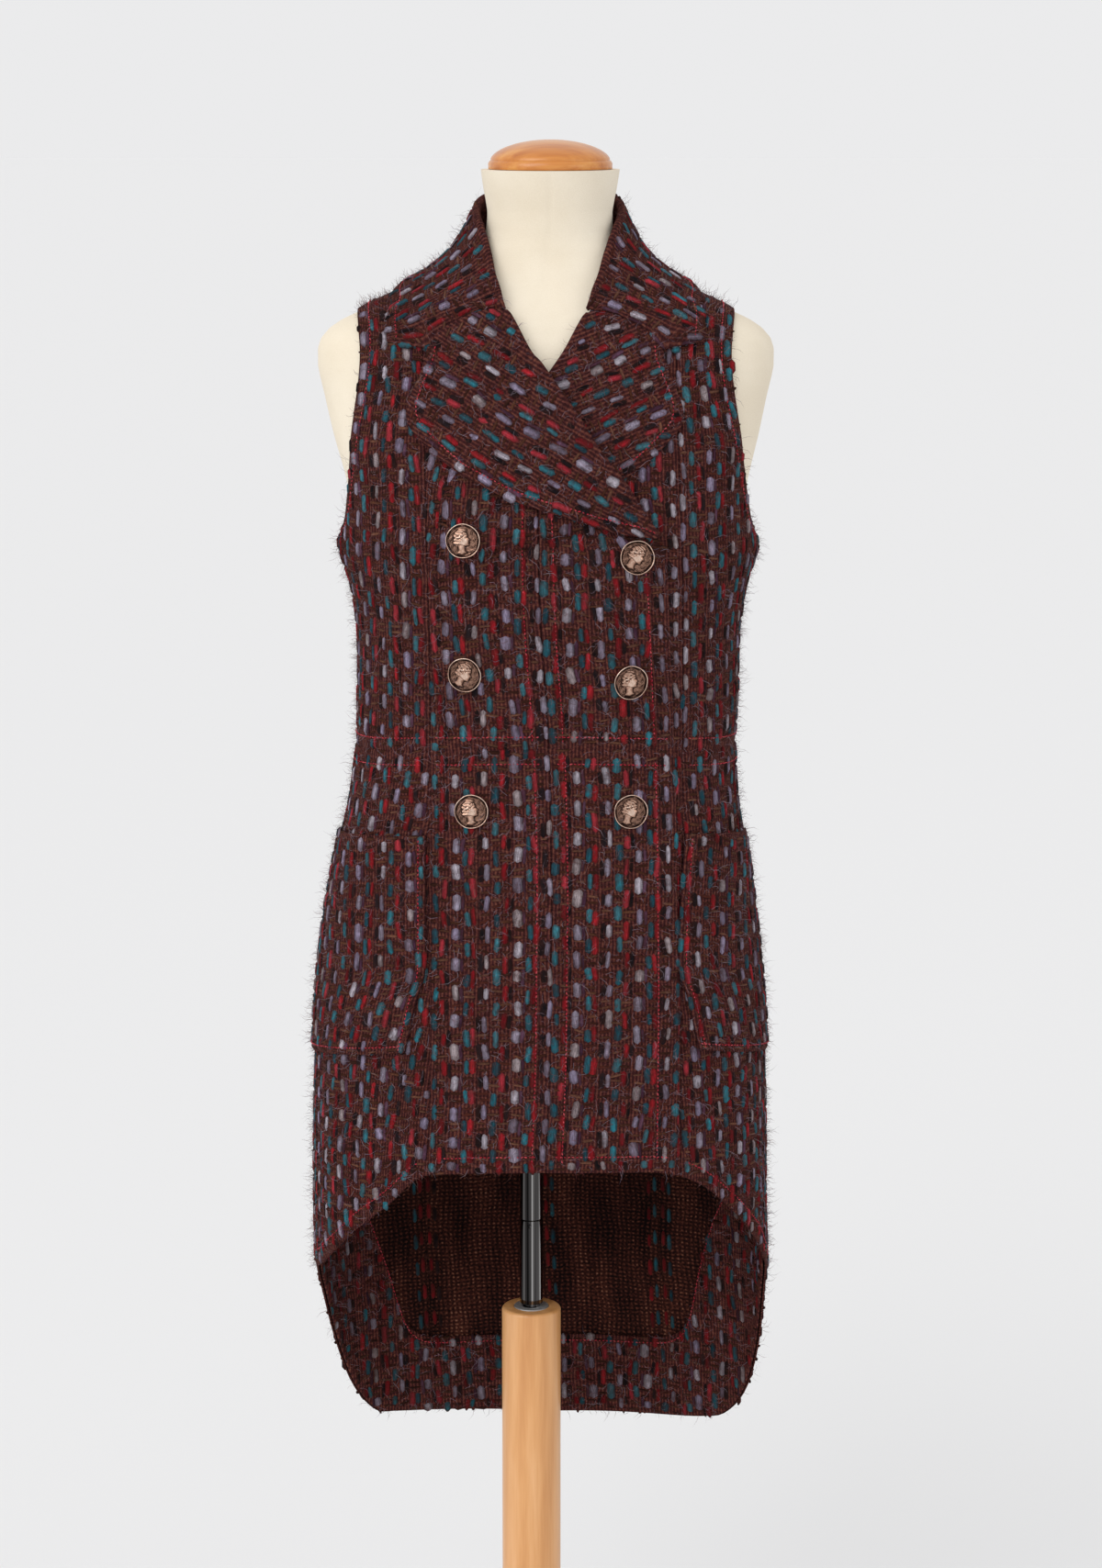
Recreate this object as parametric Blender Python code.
"""A double-breasted mohair vest, knee-long at the back, on a limbless dress form and wooden stand.

Metres, +Z up. The origin is on the floor under the column, the front faces -Y and the wearer's
left is at +X. The vest is cut in panels, and every panel is a thin wall on one shared surface,
the shell, whose rings are squared ovals given by height. A place on the shell is a turn in
degrees (0 at the centre front, +90 at the wearer's left side, 180 at the centre back) and a
height, and what lies on a panel is the same surface moved out by whole layers of cloth.
"""

import math
from collections import namedtuple

import bmesh
import bpy
from mathutils import Matrix, Vector

# ---------------------------------------------------------------- driving dimensions, metres
WALL = 0.0024  # one layer of cloth
LAYER = 0.0031  # a layer and the 0.7 mm of air under the next one
SEAM = 0.00025  # a panel stops this far from its seam line
UNDERARM_HEIGHT = 1.166
LAPEL_TAIL_HEIGHT = 1.180  # the upper front is fully out over the under lapel from here up
SHOULDER_TIP_X = 0.1555
SHOULDER_TIP_HEIGHT = 1.360
NECK_X = 0.0660
NECK_HEIGHT = 1.412
BACK_NECK_HEIGHT = 1.416
GORGE_X = 0.0357  # where the collar's seam meets the roll line
WAIST_FRONT_HEIGHT = 1.0115
WAIST_SIDE_HEIGHT = 0.9985
UNDER_EDGE_X = -0.058  # the hidden edge of the wearer's left front
OVERLAP_RAMP = 0.018  # the upper front climbs one layer over this width
OVERLAP_EARLY = 0.014  # and is up this far before the edge that it covers
LAPEL_RAMP = 0.020  # the same over the under lapel's lower edge
LAPEL_EARLY = 0.008
LAPEL_EASE = 0.0034  # and the front stands this much freer over it
UPPER_LAPEL_EASE = 0.0041  # the lapel on top stands this much freer than a flat layer
BACK_PRINCESS_X = 0.106
BUTTON_RADIUS = 0.0140
BUTTON_HEIGHT = 0.0030
SHANK_RADIUS = 0.0035
SHANK_HEIGHT = 0.0009
SHANK_GAP = 0.0005
FACING_HEM_GAP = 0.0012
FACING_SET_BACK = 0.012  # share of the way round the back, kept clear of the side seams
POCKET_EASE = 0.0004
POCKET_GAPE = 0.0028
BASE_RADIUS = 0.170
BASE_HEIGHT = 0.022
COLUMN_RADIUS = 0.0255
COLUMN_TOP = 0.4986
BORE_RADIUS = 0.0074
BORE_BOTTOM = 0.200
FERRULE_RADIUS = 0.0150
FERRULE_DEPTH = 0.0040
FERRULE_PROUD = 0.0006
STUB_RADIUS = 0.0070
STUB_BOTTOM = 0.215
TUBE_RADIUS = 0.0100
TUBE_BOTTOM = 0.5020
TUBE_SEAM = 0.5780
GAP = 0.0003
FLANGE_RADIUS = 0.0300
FLANGE_HEIGHT = 0.0040
TORSO_BOTTOM = 0.7100
NECK_TOP = 1.4720
CAP_MIDDLE_Y = 0.010
PANEL_COLUMNS = 6
SKIRT_ROWS = 9
BODICE_ROWS = 15
UNDERARM_ROW = 6
FOLD_STEPS = 4

# How far the vest's middle stands from the column's axis, by height.
Edge = namedtuple("Edge", "height x")
MIDDLE = [
    Edge(0.365, 0.0165),
    Edge(0.430, 0.0140),
    Edge(0.480, 0.0115),
    Edge(0.520, 0.0095),
    Edge(0.600, 0.0080),
    Edge(0.760, 0.0076),
    Edge(0.860, 0.0080),
    Edge(0.960, 0.0113),
    Edge(1.060, 0.0148),
    Edge(1.160, 0.0150),
    Edge(1.280, 0.0128),
    Edge(1.360, 0.0130),
    Edge(1.420, 0.0158),
    Edge(1.470, 0.0165),
]

Ring = namedtuple("Ring", "height half_width front back squareness middle")
SHELL = [
    Ring(0.340, 0.1970, 0.1300, 0.1290, 2.40, 0.000),
    Ring(0.500, 0.1968, 0.1285, 0.1280, 2.40, 0.000),
    Ring(0.650, 0.1945, 0.1265, 0.1250, 2.40, 0.000),
    Ring(0.727, 0.1917, 0.1255, 0.1235, 2.40, 0.000),
    Ring(0.776, 0.1890, 0.1248, 0.1220, 2.40, 0.000),
    Ring(0.824, 0.1840, 0.1238, 0.1195, 2.40, 0.000),
    Ring(0.872, 0.1775, 0.1220, 0.1160, 2.40, 0.000),
    Ring(0.920, 0.1695, 0.1190, 0.1110, 2.40, 0.000),
    Ring(0.950, 0.1640, 0.1160, 0.1060, 2.40, 0.000),
    Ring(0.991, 0.1597, 0.1125, 0.0990, 2.40, 0.000),
    Ring(1.014, 0.1588, 0.1115, 0.0970, 2.40, 0.000),
    Ring(1.050, 0.1588, 0.1150, 0.0975, 2.40, 0.001),
    Ring(1.096, 0.1600, 0.1200, 0.1005, 2.40, 0.002),
    Ring(1.131, 0.1650, 0.1238, 0.1030, 2.40, 0.003),
    Ring(1.155, 0.1725, 0.1253, 0.1043, 2.36, 0.004),
    Ring(1.166, 0.1750, 0.1257, 0.1050, 2.34, 0.004),
    Ring(1.190, 0.1735, 0.1255, 0.1063, 2.32, 0.005),
    Ring(1.220, 0.1730, 0.1225, 0.1070, 2.30, 0.006),
    Ring(1.260, 0.1795, 0.1145, 0.1060, 2.28, 0.008),
    Ring(1.290, 0.1858, 0.1050, 0.1030, 2.25, 0.010),
    Ring(1.315, 0.1905, 0.0950, 0.0980, 2.20, 0.010),
    Ring(1.335, 0.1880, 0.0865, 0.0915, 2.20, 0.010),
    Ring(1.345, 0.1800, 0.0815, 0.0865, 2.20, 0.010),
    Ring(1.352, 0.1700, 0.0775, 0.0825, 2.20, 0.010),
    Ring(1.360, 0.1555, 0.0725, 0.0780, 2.20, 0.010),
    Ring(1.376, 0.1205, 0.0620, 0.0695, 2.15, 0.010),
    Ring(1.387, 0.0975, 0.0560, 0.0650, 2.10, 0.010),
    Ring(1.397, 0.0805, 0.0525, 0.0620, 2.10, 0.010),
    Ring(1.406, 0.0710, 0.0490, 0.0595, 2.10, 0.010),
    Ring(1.412, 0.0660, 0.0470, 0.0580, 2.10, 0.010),
    Ring(1.416, 0.0635, 0.0455, 0.0565, 2.10, 0.010),
]

# The form under the vest: a waist, shoulder caps that show in the armholes, and a neck.
FORM = [
    Ring(0.7100, 0.1480, 0.0900, 0.0950, 2.30, 0.000),
    Ring(0.7130, 0.1560, 0.0980, 0.1030, 2.30, 0.000),
    Ring(0.7220, 0.1630, 0.1040, 0.1090, 2.30, 0.000),
    Ring(0.7600, 0.1670, 0.1080, 0.1120, 2.30, 0.000),
    Ring(0.8100, 0.1650, 0.1080, 0.1110, 2.30, 0.000),
    Ring(0.8700, 0.1560, 0.1030, 0.1040, 2.30, 0.000),
    Ring(0.9300, 0.1420, 0.0960, 0.0940, 2.30, 0.000),
    Ring(1.0150, 0.1270, 0.0910, 0.0820, 2.25, 0.000),
    Ring(1.0900, 0.1380, 0.1030, 0.0870, 2.20, 0.002),
    Ring(1.1500, 0.1520, 0.1160, 0.0940, 2.20, 0.003),
    Ring(1.1850, 0.1600, 0.1200, 0.0990, 2.20, 0.005),
    Ring(1.2200, 0.1670, 0.1165, 0.1010, 2.20, 0.006),
    Ring(1.2570, 0.1765, 0.1085, 0.1010, 2.20, 0.008),
    Ring(1.2870, 0.1830, 0.1005, 0.0985, 2.20, 0.010),
    Ring(1.3120, 0.1885, 0.0902, 0.0922, 2.20, 0.010),
    Ring(1.3250, 0.1885, 0.0850, 0.0887, 2.20, 0.010),
    Ring(1.3340, 0.1860, 0.0812, 0.0857, 2.20, 0.010),
    Ring(1.3415, 0.1800, 0.0772, 0.0822, 2.20, 0.010),
    Ring(1.3490, 0.1695, 0.0732, 0.0782, 2.20, 0.010),
    Ring(1.3568, 0.1530, 0.0682, 0.0737, 2.20, 0.010),
    Ring(1.3728, 0.1180, 0.0580, 0.0652, 2.15, 0.010),
    Ring(1.3838, 0.0950, 0.0522, 0.0607, 2.10, 0.010),
    Ring(1.3938, 0.0775, 0.0482, 0.0567, 2.10, 0.010),
    Ring(1.4025, 0.0670, 0.0452, 0.0542, 2.10, 0.010),
    Ring(1.4120, 0.0580, 0.0435, 0.0535, 2.10, 0.010),
    Ring(1.4220, 0.0525, 0.0430, 0.0515, 2.05, 0.010),
    Ring(1.4380, 0.0515, 0.0445, 0.0510, 2.00, 0.010),
    Ring(1.4580, 0.0550, 0.0490, 0.0530, 2.00, 0.010),
    Ring(NECK_TOP, 0.0570, 0.0525, 0.0545, 2.00, 0.010),
]

# Seams and edges of the fronts: x from the vest's middle, by height.
CENTRE_SEAM = [
    Edge(0.663, 0.0054),
    Edge(0.760, 0.0089),
    Edge(0.872, 0.0094),
    Edge(0.948, 0.0062),
    Edge(1.034, 0.0003),
    Edge(1.099, -0.0052),
    Edge(1.174, -0.0077),
    Edge(1.311, -0.0048),
]
FRONT_EDGE = [
    Edge(0.665, 0.1130),
    Edge(0.791, 0.1138),
    Edge(0.868, 0.1121),
    Edge(0.959, 0.1073),
    Edge(1.050, 0.1006),
    Edge(1.135, 0.0963),
    Edge(1.174, 0.0935),
]
RIGHT_PRINCESS = [
    Edge(0.653, -0.0927),
    Edge(0.793, -0.0903),
    Edge(0.983, -0.0947),
    Edge(1.200, -0.0979),
    Edge(1.390, -0.0970),
]
LEFT_PRINCESS = [
    Edge(0.653, 0.1171),
    Edge(0.868, 0.1174),
    Edge(1.018, 0.1119),
    Edge(1.156, 0.1088),
    Edge(1.390, 0.1050),
]
ARMHOLE = [
    Edge(1.166, 0.1750),
    Edge(1.177, 0.1724),
    Edge(1.189, 0.1685),
    Edge(1.212, 0.1650),
    Edge(1.235, 0.1623),
    Edge(1.258, 0.1600),
    Edge(1.280, 0.1565),
    Edge(1.303, 0.1530),
    Edge(1.326, 0.1515),
    Edge(1.345, 0.1530),
    Edge(1.360, 0.1555),
]

# Neckline and roll line: height by x, x counted from the middle towards the wearer's right.
Top = namedtuple("Top", "x height")
ROLL_LINE = [
    Top(-0.0935, 1.1740),
    Top(-0.0847, 1.1819),
    Top(-0.0555, 1.2248),
    Top(-0.0370, 1.2492),
    Top(-0.0205, 1.2751),
    Top(0.0048, 1.3107),
    Top(0.0175, 1.3286),
    Top(0.0288, 1.3488),
    Top(0.0357, 1.3600),
]
NECKLINE = [
    Top(0.0357, 1.3600),
    Top(0.0470, 1.3750),
    Top(0.0570, 1.3920),
    Top(0.0635, 1.4060),
    Top(0.0660, 1.4120),
]

# Hem height by turn away from the centre front, on the wearer's right and on their left.
Hem = namedtuple("Hem", "turn right left")
HEM = [
    Hem(0.0, 0.6580, 0.6580),
    Hem(15.0, 0.6560, 0.6570),
    Hem(27.0, 0.6490, 0.6545),
    Hem(36.0, 0.6245, 0.6455),
    Hem(43.0, 0.6090, 0.6340),
    Hem(49.0, 0.5970, 0.6205),
    Hem(55.0, 0.5830, 0.6070),
    Hem(62.0, 0.5690, 0.5900),
    Hem(70.0, 0.5560, 0.5730),
    Hem(80.0, 0.5450, 0.5520),
    Hem(90.0, 0.5350, 0.5350),
    Hem(100.0, 0.5030, 0.5000),
    Hem(110.0, 0.4510, 0.4440),
    Hem(120.0, 0.4000, 0.3940),
    Hem(130.0, 0.3700, 0.3670),
    Hem(138.0, 0.3650, 0.3600),
    Hem(150.0, 0.3615, 0.3565),
    Hem(180.0, 0.3540, 0.3540),
]

# The inner edge of the hem's facing at the back.
Level = namedtuple("Level", "turn height")
FACING_TOP = [
    Level(90.0, 0.6200),
    Level(105.0, 0.6100),
    Level(122.0, 0.5850),
    Level(130.0, 0.5550),
    Level(137.0, 0.5050),
    Level(142.0, 0.4540),
    Level(147.0, 0.4360),
    Level(156.0, 0.4300),
    Level(180.0, 0.4275),
]

# The lapel that lies on top, from the break up: a point on the roll line and one on its edge.
Lapel = namedtuple("Lapel", "share roll_x edge_x edge_height")
LAPEL = [
    Lapel(0.00, -0.0840, -0.0780, 1.1838),
    Lapel(0.08, -0.0700, -0.0559, 1.1877),
    Lapel(0.17, -0.0555, -0.0206, 1.1987),
    Lapel(0.27, -0.0370, 0.0271, 1.2134),
    Lapel(0.38, -0.0205, 0.0595, 1.2292),
    Lapel(0.47, -0.0070, 0.0811, 1.2428),
    Lapel(0.56, 0.0048, 0.0985, 1.2590),
    Lapel(0.64, 0.0118, 0.1085, 1.2705),
    Lapel(0.72, 0.0185, 0.1102, 1.2820),
    Lapel(0.81, 0.0245, 0.1050, 1.2985),
    Lapel(0.90, 0.0303, 0.0990, 1.3120),
    Lapel(1.00, 0.0347, 0.0937, 1.3308),
]
LEFT_LAPEL_START = 0.13  # the under lapel's tail starts here, hidden under the upper front

# The gorge seam and the collar's front edge beyond the notch, from the roll line out.
Gorge = namedtuple("Gorge", "share x height")
GORGE = [
    Gorge(0.00, 0.0357, 1.3600),
    Gorge(0.18, 0.0510, 1.3585),
    Gorge(0.36, 0.0660, 1.3530),
    Gorge(0.55, 0.0846, 1.3430),
    Gorge(0.68, 0.0940, 1.3310),
    Gorge(0.82, 0.1100, 1.3330),
    Gorge(1.00, 0.1273, 1.3356),
]
NOTCH_SHARE = 0.68
FALL_STEPS = 6
FALL_SHARES = [NOTCH_SHARE * step / FALL_STEPS for step in range(1, FALL_STEPS + 1)] + [0.84, 1.00]

# Half of the collar, from its front edge to the centre back: the neck seam's place on the shell,
# how far the roll stands from it (in, back and up), and the outer edge's place on the shell.
COLLAR_FIELDS = "share seam_turn seam_height roll_in roll_back roll_up edge_turn edge_height roll_size"
Collar = namedtuple("Collar", COLLAR_FIELDS)
COLLAR = [
    Collar(0.00, 11.4, 1.3600, 0.0010, 0.0000, 0.0012, 40.7, 1.3356, 0.0031),
    Collar(0.14, 20.9, 1.3750, 0.0050, -0.0020, 0.0060, 43.0, 1.3434, 0.0040),
    Collar(0.25, 39.0, 1.3920, 0.0078, 0.0020, 0.0100, 47.8, 1.3531, 0.0046),
    Collar(0.37, 62.8, 1.4060, 0.0080, 0.0040, 0.0165, 57.6, 1.3647, 0.0048),
    Collar(0.50, 90.0, 1.4120, 0.0070, 0.0070, 0.0235, 90.0, 1.3765, 0.0050),
    Collar(0.68, 120.0, 1.4150, 0.0035, 0.0040, 0.0300, 118.0, 1.3720, 0.0054),
    Collar(0.84, 150.0, 1.4160, 0.0010, 0.0035, 0.0330, 148.0, 1.3660, 0.0056),
    Collar(1.00, 180.0, 1.4160, 0.0000, 0.0030, 0.0340, 180.0, 1.3630, 0.0056),
]
COLLAR_HUG = 2.4  # how fast the fall comes down onto the shoulder
COLLAR_SEAM_GAP = 0.0023
COLLAR_EASE = 0.0010  # its edge stands this much freer than a flat layer

Button = namedtuple("Button", "name x height")
BUTTONS = [
    Button("button_right_top", -0.0652, 1.1822),
    Button("button_right_middle", -0.0661, 1.0732),
    Button("button_right_bottom", -0.0578, 0.9597),
    Button("button_left_top", 0.0699, 1.1685),
    Button("button_left_middle", 0.0655, 1.0669),
    Button("button_left_bottom", 0.0694, 0.9592),
]

# Pockets: the inner edge's x by height on the wearer's right, and how much wider on the left.
POCKET_INNER = [
    Edge(0.756, 0.1104),
    Edge(0.775, 0.1062),
    Edge(0.799, 0.1010),
    Edge(0.822, 0.0938),
    Edge(0.845, 0.0928),
    Edge(0.940, 0.0950),
]
POCKET_TOP = [Level(25.0, 0.9385), Level(90.0, 0.9240)]
POCKET_BOTTOM = [Level(28.0, 0.7570), Level(45.0, 0.7500), Level(90.0, 0.7330)]
LEFT_POCKET_SHIFT = 0.0208

# ---------------------------------------------------------------- small helpers


def mix(start, end, share):
    return start + (end - start) * share


def ramp(value):
    """0 below 0, 1 above 1, and a soft step between."""
    held = min(max(value, 0.0), 1.0)
    return held * held * (3.0 - 2.0 * held)


def read(rows, key, column):
    """A smooth value from a table whose first column is the key, with no overshoot."""
    if key <= rows[0][0]:
        return getattr(rows[0], column)
    if key >= rows[-1][0]:
        return getattr(rows[-1], column)
    upper = next(i for i, row in enumerate(rows) if row[0] >= key)
    lower = upper - 1

    def slope(index):
        before = rows[max(index - 1, 0)]
        after = rows[min(index + 1, len(rows) - 1)]
        return (getattr(after, column) - getattr(before, column)) / (after[0] - before[0])

    step = rows[upper][0] - rows[lower][0]
    share = (key - rows[lower][0]) / step
    first = getattr(rows[lower], column)
    rise = getattr(rows[upper], column) - first
    if rise == 0.0:
        return first
    leave = min(max(slope(lower) * step / rise, 0.0), 3.0)
    arrive = min(max(slope(upper) * step / rise, 0.0), 3.0)
    square = share * share
    cube = square * share
    along = 3.0 * square - 2.0 * cube
    along += leave * (cube - 2.0 * square + share) + arrive * (cube - square)
    return first + rise * along


def centre_x(height):
    return read(MIDDLE, height, "x")


def ring_point(rows, turn, height):
    """The point of a squared-oval ring at this turn."""
    half_width = read(rows, height, "half_width")
    power = 2.0 / read(rows, height, "squareness")
    across = math.sin(math.radians(turn))
    ahead = math.cos(math.radians(turn))
    depth = read(rows, height, "front" if ahead > 0.0 else "back")
    x = centre_x(height) + half_width * math.copysign(abs(across) ** power, across)
    y = read(rows, height, "middle") - depth * math.copysign(abs(ahead) ** power, ahead)
    return Vector((x, y, height))


def shell_normal(turn, height):
    """The outward normal of the shell."""
    around = ring_point(SHELL, turn + 0.4, height) - ring_point(SHELL, turn - 0.4, height)
    up = ring_point(SHELL, turn, height + 0.002) - ring_point(SHELL, turn, height - 0.002)
    return around.cross(up).normalized()


def shell_point(turn, height, out):
    return ring_point(SHELL, turn, height) + shell_normal(turn, height) * out


def turn_at(x, height, back=False):
    """The turn of the shell's point at x from its middle, in front or at the back."""
    share = min(abs(x) / read(SHELL, height, "half_width"), 1.0)
    turn = math.degrees(math.asin(share ** (read(SHELL, height, "squareness") / 2.0)))
    return math.copysign(180.0 - turn if back else turn, x)


def side_limit(height, back):
    """The turn, without sign, of the line that stops just short of the side seam."""
    depth = read(SHELL, height, "back" if back else "front")
    share = (SEAM / depth) ** (read(SHELL, height, "squareness") / 2.0)
    short = math.degrees(math.asin(share))
    return 90.0 + short if back else 90.0 - short


def held_off_side(turn, height, back):
    limit = side_limit(height, back)
    size = max(abs(turn), limit) if back else min(abs(turn), limit)
    return math.copysign(size, turn)


def ridge_height(x):
    """The height of the shoulder line at x, where a ring is just that wide."""
    low = SHOULDER_TIP_HEIGHT - 0.008
    high = BACK_NECK_HEIGHT
    for _ in range(40):
        middle = (low + high) / 2.0
        if read(SHELL, middle, "half_width") > abs(x):
            low = middle
        else:
            high = middle
    return low


def roll_height(x):
    """The height of the wearer's left roll line, by x counted to the wearer's left."""
    return read(ROLL_LINE, x, "height")


def roll_x(height):
    """The x of the wearer's left roll line at this height."""
    low = ROLL_LINE[0].x
    high = ROLL_LINE[-1].x
    for _ in range(40):
        middle = (low + high) / 2.0
        if roll_height(middle) < height:
            low = middle
        else:
            high = middle
    return low


def waist_height(turn):
    return mix(WAIST_FRONT_HEIGHT, WAIST_SIDE_HEIGHT, ramp(min(abs(turn), 90.0) / 90.0))


def hem_height(turn):
    """The hem at a turn, which may be given as more than 180 on the wearer's right."""
    signed = turn if turn <= 180.0 else turn - 360.0
    return read(HEM, abs(signed), "right" if signed < 0.0 else "left")


def under_edge_x(height):
    """The edge of the wearer's left front, which the right front lies over."""
    return max(UNDER_EDGE_X, roll_x(height))


def lapel_edge_height(x):
    """The height of the under lapel's lower edge."""
    for lower, upper in zip(LAPEL, LAPEL[1:]):
        if lower.edge_x <= x <= upper.edge_x:
            share = (x - lower.edge_x) / (upper.edge_x - lower.edge_x)
            return mix(lower.edge_height, upper.edge_height, share)
    return LAPEL[0].edge_height


def upper_lift(x, height):
    """How far the wearer's right front stands out, over the left front and the under lapel."""
    over_front = ramp((x - under_edge_x(height) + OVERLAP_EARLY) / OVERLAP_RAMP + 1.0)
    over_lapel = ramp((height - lapel_edge_height(x) + LAPEL_EARLY) / LAPEL_RAMP + 1.0)
    return LAYER * over_front + (LAYER + LAPEL_EASE) * over_front * over_lapel


def flat(x, height):
    return 0.0


# ---------------------------------------------------------------- meshes and materials


def finish(name, mesh_data, colour, roughness, metallic=0.0, smooth_angle=40.0):
    mesh = bpy.data.meshes.new(name)
    mesh_data.to_mesh(mesh)
    mesh_data.free()
    mesh.shade_smooth()
    mesh.set_sharp_from_angle(angle=math.radians(smooth_angle))
    material = bpy.data.materials.new(name)
    material.use_nodes = True
    shader = material.node_tree.nodes["Principled BSDF"]
    shader.inputs["Base Color"].default_value = (*colour, 1.0)
    shader.inputs["Roughness"].default_value = roughness
    shader.inputs["Metallic"].default_value = metallic
    mesh.materials.append(material)
    piece = bpy.data.objects.new(name, mesh)
    bpy.context.scene.collection.objects.link(piece)
    return piece


def wall(name, inner, outer, colour=(0.07, 0.04, 0.035), roughness=0.9):
    """A closed wall between two grids of points, given row by row and counted alike."""
    mesh = bmesh.new()
    layers = []
    for grid in (inner, outer):
        layers.append([[mesh.verts.new(point) for point in row] for row in grid])
    rows = len(inner)
    columns = len(inner[0])
    for grid, turned in zip(layers, (True, False)):
        for r in range(rows - 1):
            for c in range(columns - 1):
                face = [grid[r][c], grid[r][c + 1], grid[r + 1][c + 1], grid[r + 1][c]]
                mesh.faces.new(face[::-1] if turned else face)
    rim = [(0, c) for c in range(columns - 1)]
    rim += [(r, columns - 1) for r in range(rows - 1)]
    rim += [(rows - 1, c) for c in range(columns - 1, 0, -1)]
    rim += [(r, 0) for r in range(rows - 1, 0, -1)]
    for (r0, c0), (r1, c1) in zip(rim, rim[1:] + rim[:1]):
        inside, outside = layers
        mesh.faces.new([outside[r0][c0], inside[r0][c0], inside[r1][c1], outside[r1][c1]])
    bmesh.ops.recalc_face_normals(mesh, faces=mesh.faces)
    return finish(name, mesh, colour, roughness)


def sheet_on_shell(name, place, shares, steps, lift):
    """A wall on the shell: place(share, step) gives a turn and a height."""
    inner = []
    outer = []
    for step in steps:
        spots = [place(share, step) for share in shares]
        rises = [lift(turn, height) for turn, height in spots]
        outer.append([shell_point(*spot, rise) for spot, rise in zip(spots, rises)])
        inner.append([shell_point(*spot, rise - WALL) for spot, rise in zip(spots, rises)])
    return wall(name, inner, outer)


def even(count):
    return [i / count for i in range(count + 1)]


def wall_on_paths(name, paths):
    """A wall of one cloth thickness whose middle runs through these paths, one for each row."""
    inner = []
    outer = []
    last_row = len(paths) - 1
    for r, path in enumerate(paths):
        below = paths[max(r - 1, 0)]
        above = paths[min(r + 1, last_row)]
        inner_row = []
        outer_row = []
        for c, point in enumerate(path):
            along = path[min(c + 1, len(path) - 1)] - path[max(c - 1, 0)]
            normal = along.cross(above[c] - below[c]).normalized()
            inner_row.append(point - normal * WALL / 2.0)
            outer_row.append(point + normal * WALL / 2.0)
        inner.append(inner_row)
        outer.append(outer_row)
    return wall(name, inner, outer)


def turned(name, profile, segments, colour, roughness, metallic=0.0):
    """A solid of revolution about Z from (radius, height) pairs, bottom to top."""
    mesh = bmesh.new()
    rings = []
    for radius, height in profile:
        if radius == 0.0:
            rings.append([mesh.verts.new((0.0, 0.0, height))])
            continue
        ring = []
        for i in range(segments):
            angle = 2.0 * math.pi * i / segments
            ring.append(mesh.verts.new((radius * math.cos(angle), radius * math.sin(angle), height)))
        rings.append(ring)
    for below, above in zip(rings, rings[1:]):
        for i in range(segments):
            j = (i + 1) % segments
            face = [below[i % len(below)], below[j % len(below)]]
            face += [above[j % len(above)], above[i % len(above)]]
            mesh.faces.new(list(dict.fromkeys(face)))
    bmesh.ops.remove_doubles(mesh, verts=mesh.verts, dist=1e-6)
    bmesh.ops.recalc_face_normals(mesh, faces=mesh.faces)
    return finish(name, mesh, colour, roughness, metallic)


# ---------------------------------------------------------------- the vest's panels


def bodice_height(step, low, top):
    """Rows evenly up to the underarm, one just above it, then closer towards the shoulder line."""
    row = step * BODICE_ROWS
    if row <= UNDERARM_ROW:
        return mix(low, UNDERARM_HEIGHT, row / UNDERARM_ROW)
    if row <= UNDERARM_ROW + 1:
        return mix(UNDERARM_HEIGHT, LAPEL_TAIL_HEIGHT, row - UNDERARM_ROW)
    rest = (row - UNDERARM_ROW - 1) / (BODICE_ROWS - UNDERARM_ROW - 1)
    return mix(LAPEL_TAIL_HEIGHT, top, 1.0 - (1.0 - rest) ** 2.2)


def centre_panel(name, left_seam, right_seam, tops, top_height, back, lift):
    """A bodice panel of upright columns, named by where each one meets the panel's top edge."""
    shares = []
    for x in tops:
        height = top_height(x)
        left = left_seam(height)
        shares.append((x - left) / (right_seam(height) - left))
    top_of = dict(zip(shares, [top_height(x) for x in tops]))

    def place(share, step):
        top = top_of[share]
        waist_x = mix(left_seam(WAIST_SIDE_HEIGHT), right_seam(WAIST_SIDE_HEIGHT), share)
        low = waist_height(turn_at(waist_x, WAIST_SIDE_HEIGHT, back)) + SEAM
        height = bodice_height(step, low, top - SEAM)
        x = mix(left_seam(height), right_seam(height), share)
        turn = turn_at(x, height, back)
        return held_off_side(turn, height, back), height

    def rise(turn, height):
        return lift(ring_point(SHELL, turn, height).x - centre_x(height), height)

    return sheet_on_shell(name, place, shares, even(BODICE_ROWS), rise)


def side_panel(name, side, seam, seam_top_x, back):
    """A bodice panel from a princess seam to the side seam and the armhole."""

    def place(share, step):
        top_x = mix(seam_top_x, SHOULDER_TIP_X, share)
        top = ridge_height(top_x)
        waist_seam = turn_at(seam(WAIST_SIDE_HEIGHT), WAIST_SIDE_HEIGHT, back)
        low = waist_height(mix(abs(waist_seam), 90.0, share)) + SEAM
        height = bodice_height(step, low, top)
        edge_height = bodice_height(step, low, SHOULDER_TIP_HEIGHT)
        seam_turn = turn_at(seam(height), height, back)
        outer_turn = turn_at(side * read(ARMHOLE, edge_height, "x"), edge_height, back)
        if edge_height <= UNDERARM_HEIGHT:
            outer_turn = math.copysign(90.0, side)
        turn = mix(seam_turn, outer_turn, share)
        x = mix(seam(height), side * read(ARMHOLE, edge_height, "x"), share)
        closing = ramp((height - UNDERARM_HEIGHT) / (top - UNDERARM_HEIGHT))
        turn = mix(turn, turn_at(x, height, back), closing)  # so the top meets the shoulder line
        return held_off_side(turn, height, back), height

    return sheet_on_shell(name, place, even(PANEL_COLUMNS), even(BODICE_ROWS), flat)


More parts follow.
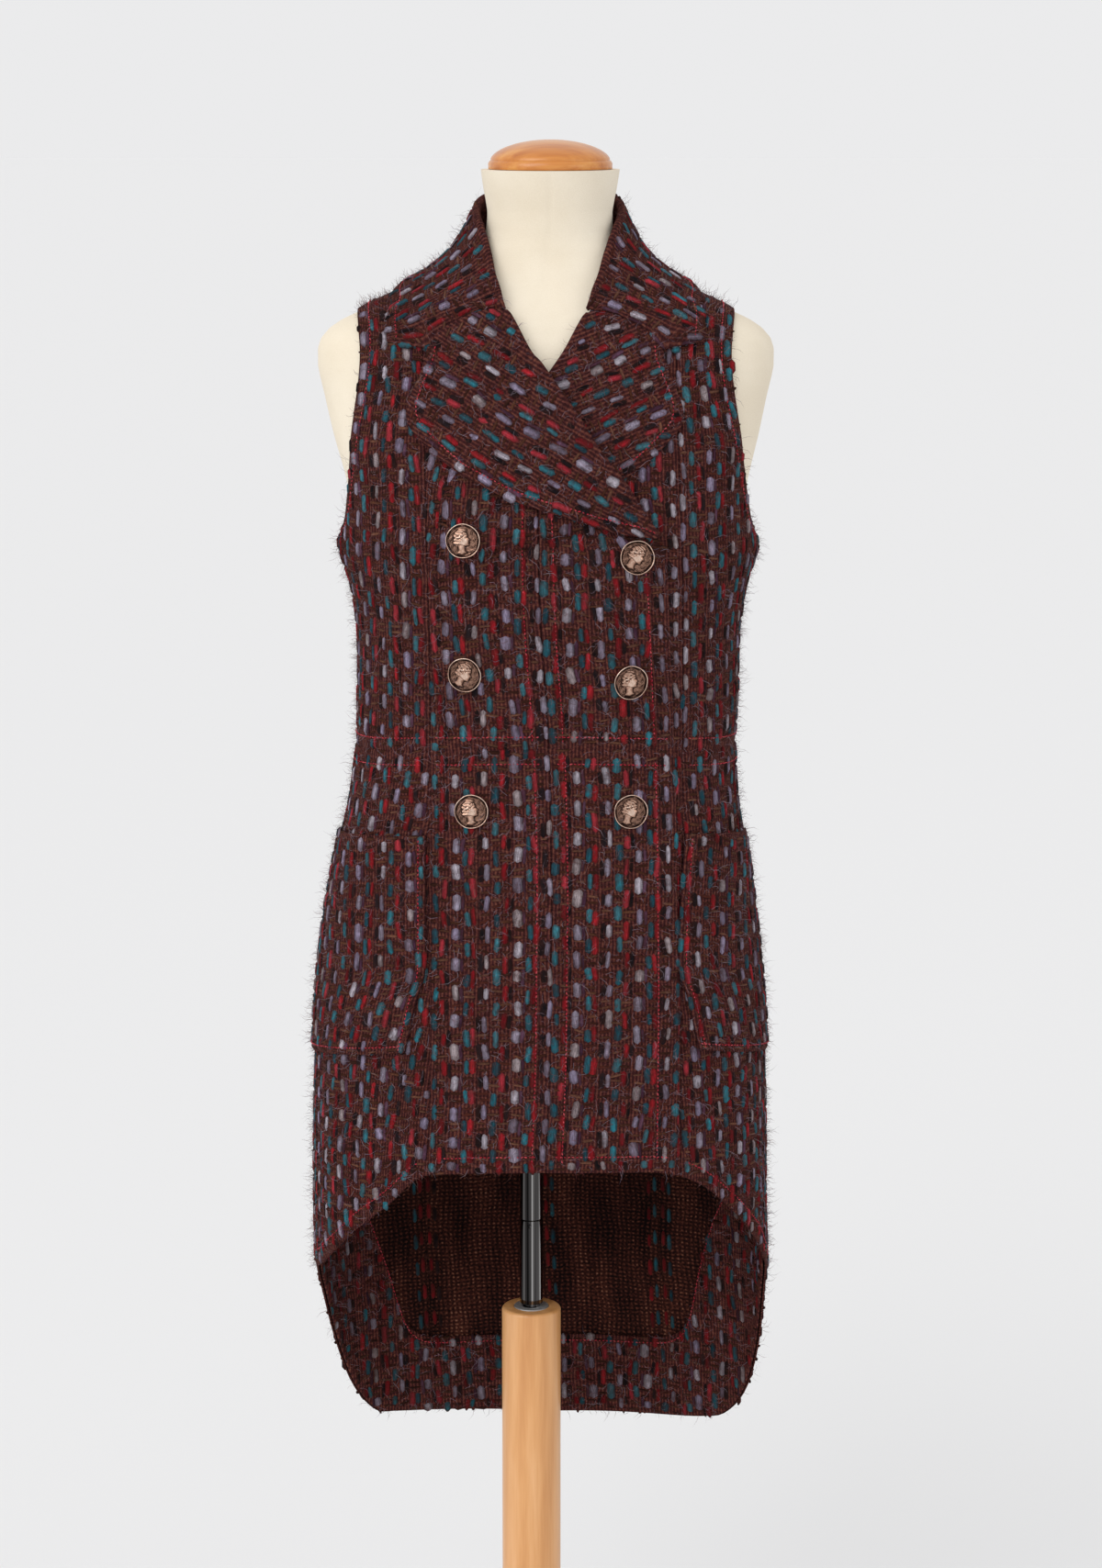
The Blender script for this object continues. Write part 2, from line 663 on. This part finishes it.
def skirt_panel(name, first_turn, last_turn, lift, columns=PANEL_COLUMNS):
    """A skirt panel between two seams, each a turn by height, from the waist seam to the hem."""

    def place(share, step):
        low = WAIST_SIDE_HEIGHT
        for _ in range(3):
            low = hem_height(mix(first_turn(low), last_turn(low), share))
        waist_turn = mix(first_turn(WAIST_SIDE_HEIGHT), last_turn(WAIST_SIDE_HEIGHT), share)
        height = mix(waist_height(waist_turn) - SEAM, low, step)
        return mix(first_turn(height), last_turn(height), share), height

    def rise(turn, height):
        return lift(ring_point(SHELL, turn, height).x - centre_x(height), height)

    return sheet_on_shell(name, place, even(columns), even(SKIRT_ROWS), rise)


def seam_x(rows, shift=0.0):
    return lambda height: read(rows, height, "x") + shift


def fixed_x(x):
    return lambda height: x


def seam_turn(x_of, back=False):
    return lambda height: turn_at(x_of(height), height, back)


def side_turn(side, back):
    return lambda height: math.copysign(side_limit(height, back), side)


def right_top(x):
    """The top edge of the wearer's right front: shoulder, neckline, then roll line."""
    return left_top(-x)


def left_top(x):
    if x >= NECK_X:
        return ridge_height(x)
    return read(NECKLINE, x, "height") if x > GORGE_X else roll_height(x)


def back_top(x):
    if abs(x) >= NECK_X:
        return ridge_height(x)
    return mix(BACK_NECK_HEIGHT, NECK_HEIGHT, ramp(abs(x) / NECK_X * 2.0 - 1.0))


def make_fronts():
    right_tops = [-0.0968, -0.0870, -0.0765, -0.0660, -0.0630, -0.0565, -0.0460, -0.0357]
    right_tops += [-0.0254, -0.0151, -0.0050]
    overlap_tops = [-0.0046, 0.0130, 0.0300, 0.0470, 0.0620, 0.0750, 0.0850, 0.0933]
    left_tops = [-0.0580, -0.0390, -0.0200, -0.0010, 0.0180, 0.0357]
    left_tops += [0.0460, 0.0565, 0.0630, 0.0660, 0.0790, 0.0920, 0.1048]
    right_in = seam_x(RIGHT_PRINCESS, SEAM)
    centre_low = seam_x(CENTRE_SEAM, -SEAM)
    centre_high = seam_x(CENTRE_SEAM, SEAM)
    edge = seam_x(FRONT_EDGE)
    under = fixed_x(UNDER_EDGE_X)
    left_in = seam_x(LEFT_PRINCESS, -SEAM)
    centre_panel("right_front", right_in, centre_low, right_tops, right_top, False, upper_lift)
    centre_panel("right_overlap", centre_high, edge, overlap_tops, right_top, False, upper_lift)
    centre_panel("left_front", under, left_in, left_tops, left_top, False, flat)
    side_panel("right_side_front", -1.0, seam_x(RIGHT_PRINCESS, -SEAM), 0.0970, False)
    side_panel("left_side_front", 1.0, seam_x(LEFT_PRINCESS, SEAM), 0.1050, False)

    skirt_panel("right_front_skirt", seam_turn(right_in), seam_turn(centre_low), upper_lift)
    skirt_panel("right_overlap_skirt", seam_turn(centre_high), seam_turn(edge), upper_lift)
    skirt_panel("left_front_skirt", seam_turn(under), seam_turn(left_in), flat, 9)
    right_out = seam_turn(seam_x(RIGHT_PRINCESS, -SEAM))
    skirt_panel("right_side_front_skirt", side_turn(-1.0, False), right_out, flat)
    left_out = seam_turn(seam_x(LEFT_PRINCESS, SEAM))
    skirt_panel("left_side_front_skirt", left_out, side_turn(1.0, False), flat)


def make_backs():
    for name, side in (("right", -1.0), ("left", 1.0)):
        centre = fixed_x(side * SEAM)
        inside = fixed_x(side * (BACK_PRINCESS_X - SEAM))
        outside = fixed_x(side * (BACK_PRINCESS_X + SEAM))
        tops = [SEAM, 0.0220, 0.0420, 0.0560, 0.0630, NECK_X, 0.0790, 0.0925, BACK_PRINCESS_X - SEAM]
        tops = [side * x for x in tops]
        centre_panel(name + "_back", centre, inside, tops, back_top, True, flat)
        side_panel(name + "_side_back", side, outside, BACK_PRINCESS_X, True)
        skirt_panel(name + "_back_skirt", seam_turn(centre, True), seam_turn(inside, True), flat)
        skirt_panel(name + "_side_back_skirt", seam_turn(outside, True), side_turn(side, True), flat)


def tail_turn(share, height):
    """The turn at a share of the way round the back, on the same columns as its four panels."""
    side = 1.0 if share < 0.5 else -1.0
    across = 1.0 - abs(2.0 * share - 1.0)
    princess = turn_at(BACK_PRINCESS_X, height, True)
    if across < 0.5:
        turn = mix(90.0, princess, across * 2.0)
    else:
        turn = mix(princess, 180.0, across * 2.0 - 1.0)
    return turn if side > 0.0 else 360.0 - turn


def make_hem_facing():
    """The deep turn-up inside the back's tail, which runs up its curved sides."""

    def place(share, step):
        height = HEM[-1].left
        for _ in range(3):
            turn = tail_turn(share, height)
            top = read(FACING_TOP, 180.0 - abs(180.0 - turn), "height")
            height = mix(hem_height(turn) + FACING_HEM_GAP, top, step)
        return tail_turn(share, height), height

    shares = [FACING_SET_BACK] + even(4 * PANEL_COLUMNS)[1:-1] + [1.0 - FACING_SET_BACK]
    sheet_on_shell("back_hem_facing", place, shares, even(4), lambda turn, height: -LAYER - 2.0 * GAP)


# ---------------------------------------------------------------- lapels and collar


def lapel_spot(x, height, side):
    """A place on the shell from an x counted towards the lapel's own side."""
    return turn_at(side * x, height), height


def fold_path(edge_spot, lift, away, size):
    """The middle of a folded edge: from the lower layer round to the upper one."""
    normal = shell_normal(*edge_spot)
    start = shell_point(*edge_spot, lift - WALL / 2.0) + away * 0.0010
    centre = start + away * 0.0001 + normal * size / 2.0
    points = [start]
    for step in range(FOLD_STEPS + 1):
        angle = math.pi * step / FOLD_STEPS
        points.append(centre + (away * math.sin(angle) - normal * math.cos(angle)) * size / 2.0)
    return points


def make_lapel(name, side, first_share, lift, ease):
    """A lapel folded over at the roll line, lying on its own front."""
    paths = []
    rows = [row for row in even(14) if row >= first_share]
    for share in rows:
        roll_x_here = read(LAPEL, share, "roll_x")
        roll_height_here = roll_height(roll_x_here)
        roll_spot = lapel_spot(roll_x_here, roll_height_here, side)
        ahead = lapel_spot(roll_x_here + 0.001, roll_height(roll_x_here + 0.001), side)
        behind = lapel_spot(roll_x_here - 0.001, roll_height(roll_x_here - 0.001), side)
        along = shell_point(*ahead, 0.0) - shell_point(*behind, 0.0)
        away = along.cross(shell_normal(*roll_spot)).normalized() * -side
        base = lift(side * roll_x_here, roll_height_here)
        path = fold_path(roll_spot, base, away, LAYER + ease)
        for u in even(FALL_STEPS)[1:]:
            x = mix(roll_x_here, read(LAPEL, share, "edge_x"), u)
            height = mix(roll_height_here, read(LAPEL, share, "edge_height"), u)
            if share == 1.0:
                x = read(GORGE, u * NOTCH_SHARE, "x")
                height = read(GORGE, u * NOTCH_SHARE, "height") - 2.0 * SEAM
            out = lift(side * x, height) + LAYER + ease - WALL / 2.0
            path.append(shell_point(*lapel_spot(x, height, side), out))
        paths.append(path)
    return wall_on_paths(name, paths)


def collar_path(share, side):
    """The collar's middle at one place along it: stand, roll and fall."""
    seam_turn_here = read(COLLAR, share, "seam_turn")
    seam_height = read(COLLAR, share, "seam_height")
    inward = Vector((-side * read(COLLAR, share, "roll_in"), 0.0, 0.0))
    backward = Vector((0.0, read(COLLAR, share, "roll_back"), 0.0))
    upward = Vector((0.0, 0.0, read(COLLAR, share, "roll_up")))
    stand = inward + backward + upward
    normal = shell_normal(side * seam_turn_here, seam_height)
    seam = shell_point(side * seam_turn_here, seam_height, -WALL / 2.0)
    rise = stand.normalized()
    seam += rise * COLLAR_SEAM_GAP
    sideways = (normal - rise * normal.dot(rise)).normalized()
    size = read(COLLAR, share, "roll_size")
    points = [seam, seam + stand / 2.0]
    centre = seam + stand + sideways * size / 2.0
    for step in range(FOLD_STEPS + 1):
        angle = math.pi * step / FOLD_STEPS
        points.append(centre + (rise * math.sin(angle) - sideways * math.cos(angle)) * size / 2.0)
    front_share = 1.0 - ramp(share / 0.14)
    for u in FALL_SHARES:
        turn = mix(seam_turn_here, read(COLLAR, share, "edge_turn"), u)
        height = mix(seam_height, read(COLLAR, share, "edge_height"), u)
        gorge_height = read(GORGE, u, "height") + SEAM
        turn = mix(turn, turn_at(read(GORGE, u, "x"), gorge_height), front_share)
        height = mix(height, gorge_height, front_share)
        lift = mix(size, LAYER + COLLAR_EASE, u) - WALL / 2.0
        fall = shell_point(side * turn, height, lift)
        points.append(fall + stand * (1.0 - u) ** COLLAR_HUG)
    return points


def make_collar():
    half = [0.0, 0.05, 0.10, 0.16, 0.23, 0.30, 0.37, 0.43, 0.50, 0.58, 0.66, 0.75, 0.84, 0.92]
    paths = [collar_path(share, -1.0) for share in half]
    paths.append(collar_path(1.0, -1.0))
    paths += [collar_path(share, 1.0) for share in half[::-1]]
    wall_on_paths("collar", paths)


# ---------------------------------------------------------------- pockets and buttons


def make_pocket(name, side, shift):
    """A patch pocket from the princess seam to the side seam, its top edge standing open."""

    shares = even(6)

    def place(share, step):
        bottom = read(POCKET_BOTTOM, 30.0 + 60.0 * share, "height")
        top = read(POCKET_TOP, 30.0 + 60.0 * share, "height")
        height = mix(bottom, top, step)
        inner_turn = turn_at(read(POCKET_INNER, height, "x") + shift, height)
        return side * mix(inner_turn, 88.0, share), height

    inner = []
    outer = []
    for step in even(8):
        gape = POCKET_GAPE * ramp((step - 0.70) / 0.30)
        spots = [place(share, step) for share in shares]
        bows = [math.sin(math.pi * min(share * 1.1, 1.0)) for share in shares]
        rises = [LAYER + POCKET_EASE + gape * bow for bow in bows]
        outer.append([shell_point(*spot, rise) for spot, rise in zip(spots, rises)])
        inner.append([shell_point(*spot, rise - WALL) for spot, rise in zip(spots, rises)])
    wall(name, inner, outer)


def make_buttons():
    """Coin-like buttons: a raised rim round a shallow field, on a short shank."""
    rim = BUTTON_RADIUS
    low = SHANK_HEIGHT
    top = SHANK_HEIGHT + BUTTON_HEIGHT
    profile = [(0.0, 0.0), (SHANK_RADIUS, 0.0), (SHANK_RADIUS, low), (rim - 0.0010, low)]
    profile += [(rim, low + 0.0010), (rim - 0.0002, top - 0.0006), (rim - 0.0012, top)]
    profile += [(rim - 0.0024, top - 0.0006), (0.0, top - 0.0002)]
    for button in BUTTONS:
        turn = turn_at(button.x, button.height)
        piece = turned(button.name, profile, 16, (0.85, 0.62, 0.45), 0.35, 1.0)
        out = upper_lift(button.x, button.height) + SHANK_GAP
        facing = Vector((0.0, 0.0, 1.0)).rotation_difference(shell_normal(turn, button.height))
        moved = Matrix.Translation(shell_point(turn, button.height, out))
        piece.matrix_world = moved @ facing.to_matrix().to_4x4()


# ---------------------------------------------------------------- dress form and stand


def make_torso():
    mesh = bmesh.new()
    segments = 30
    rings = []
    for row in FORM:
        turns = [360.0 * i / segments for i in range(segments)]
        rings.append([mesh.verts.new(ring_point(FORM, turn, row.height)) for turn in turns])
    for below, above in zip(rings, rings[1:]):
        for i in range(segments):
            j = (i + 1) % segments
            mesh.faces.new([below[i], below[j], above[j], above[i]])
    mesh.faces.new(rings[0][::-1])
    mesh.faces.new(rings[-1])
    bmesh.ops.recalc_face_normals(mesh, faces=mesh.faces)
    finish("torso", mesh, (0.86, 0.80, 0.68), 0.85)


def make_neck_cap():
    """A shallow turned dome with a narrow upright rim."""
    profile = [(0.0, 0.0), (0.0505, 0.0), (0.0510, 0.0006), (0.0510, 0.0045), (0.0495, 0.0068)]
    profile += [(0.0450, 0.0098), (0.0410, 0.0121), (0.0370, 0.0144), (0.0330, 0.0167)]
    profile += [(0.0276, 0.0190), (0.0197, 0.0213), (0.0100, 0.0232), (0.0, 0.0238)]
    cap = turned("neck_cap", profile, 24, (0.62, 0.31, 0.10), 0.35)
    cap.location = (centre_x(NECK_TOP), CAP_MIDDLE_Y, NECK_TOP + GAP)


def make_stand():
    base = [(0.0, 0.0), (BASE_RADIUS - 0.003, 0.0), (BASE_RADIUS, 0.003)]
    base += [(BASE_RADIUS, BASE_HEIGHT - 0.006), (BASE_RADIUS - 0.006, BASE_HEIGHT), (0.0, BASE_HEIGHT)]
    turned("base_disc", base, 36, (0.74, 0.47, 0.24), 0.45)

    recess = FERRULE_RADIUS + GAP
    bottom = BASE_HEIGHT + GAP
    column = [(0.0, bottom), (COLUMN_RADIUS, bottom), (COLUMN_RADIUS, COLUMN_TOP - 0.0010)]
    column += [(COLUMN_RADIUS - 0.0010, COLUMN_TOP), (recess, COLUMN_TOP)]
    column += [(recess, COLUMN_TOP - FERRULE_DEPTH), (BORE_RADIUS, COLUMN_TOP - FERRULE_DEPTH)]
    column += [(BORE_RADIUS, BORE_BOTTOM), (0.0, BORE_BOTTOM)]
    turned("column", column, 24, (0.74, 0.47, 0.24), 0.45)

    low = COLUMN_TOP - FERRULE_DEPTH + GAP
    high = COLUMN_TOP + FERRULE_PROUD
    ring = [(BORE_RADIUS, low), (FERRULE_RADIUS, low), (FERRULE_RADIUS, high), (BORE_RADIUS, high)]
    turned("ferrule", ring + ring[:1], 24, (0.70, 0.70, 0.72), 0.25, 1.0)

    lower = [(0.0, STUB_BOTTOM), (STUB_RADIUS, STUB_BOTTOM), (STUB_RADIUS, TUBE_BOTTOM)]
    lower += [(TUBE_RADIUS, TUBE_BOTTOM), (TUBE_RADIUS, TUBE_SEAM), (0.0, TUBE_SEAM)]
    turned("lower_rod", lower, 16, (0.75, 0.75, 0.77), 0.12, 1.0)

    start = TUBE_SEAM + GAP
    top = TORSO_BOTTOM - GAP
    upper = [(0.0, start), (TUBE_RADIUS, start), (TUBE_RADIUS, top - FLANGE_HEIGHT)]
    upper += [(FLANGE_RADIUS, top - FLANGE_HEIGHT), (FLANGE_RADIUS, top), (0.0, top)]
    turned("upper_rod", upper, 16, (0.75, 0.75, 0.77), 0.12, 1.0)


def main():
    for thing in list(bpy.data.objects):
        bpy.data.objects.remove(thing, do_unlink=True)
    make_fronts()
    make_backs()
    make_hem_facing()
    make_lapel("left_lapel", 1.0, LEFT_LAPEL_START, flat, 0.0)
    make_lapel("right_lapel", -1.0, 0.0, upper_lift, UPPER_LAPEL_EASE)
    make_collar()
    make_pocket("right_pocket", -1.0, 0.0)
    make_pocket("left_pocket", 1.0, LEFT_POCKET_SHIFT)
    make_buttons()
    make_torso()
    make_neck_cap()
    make_stand()


main()
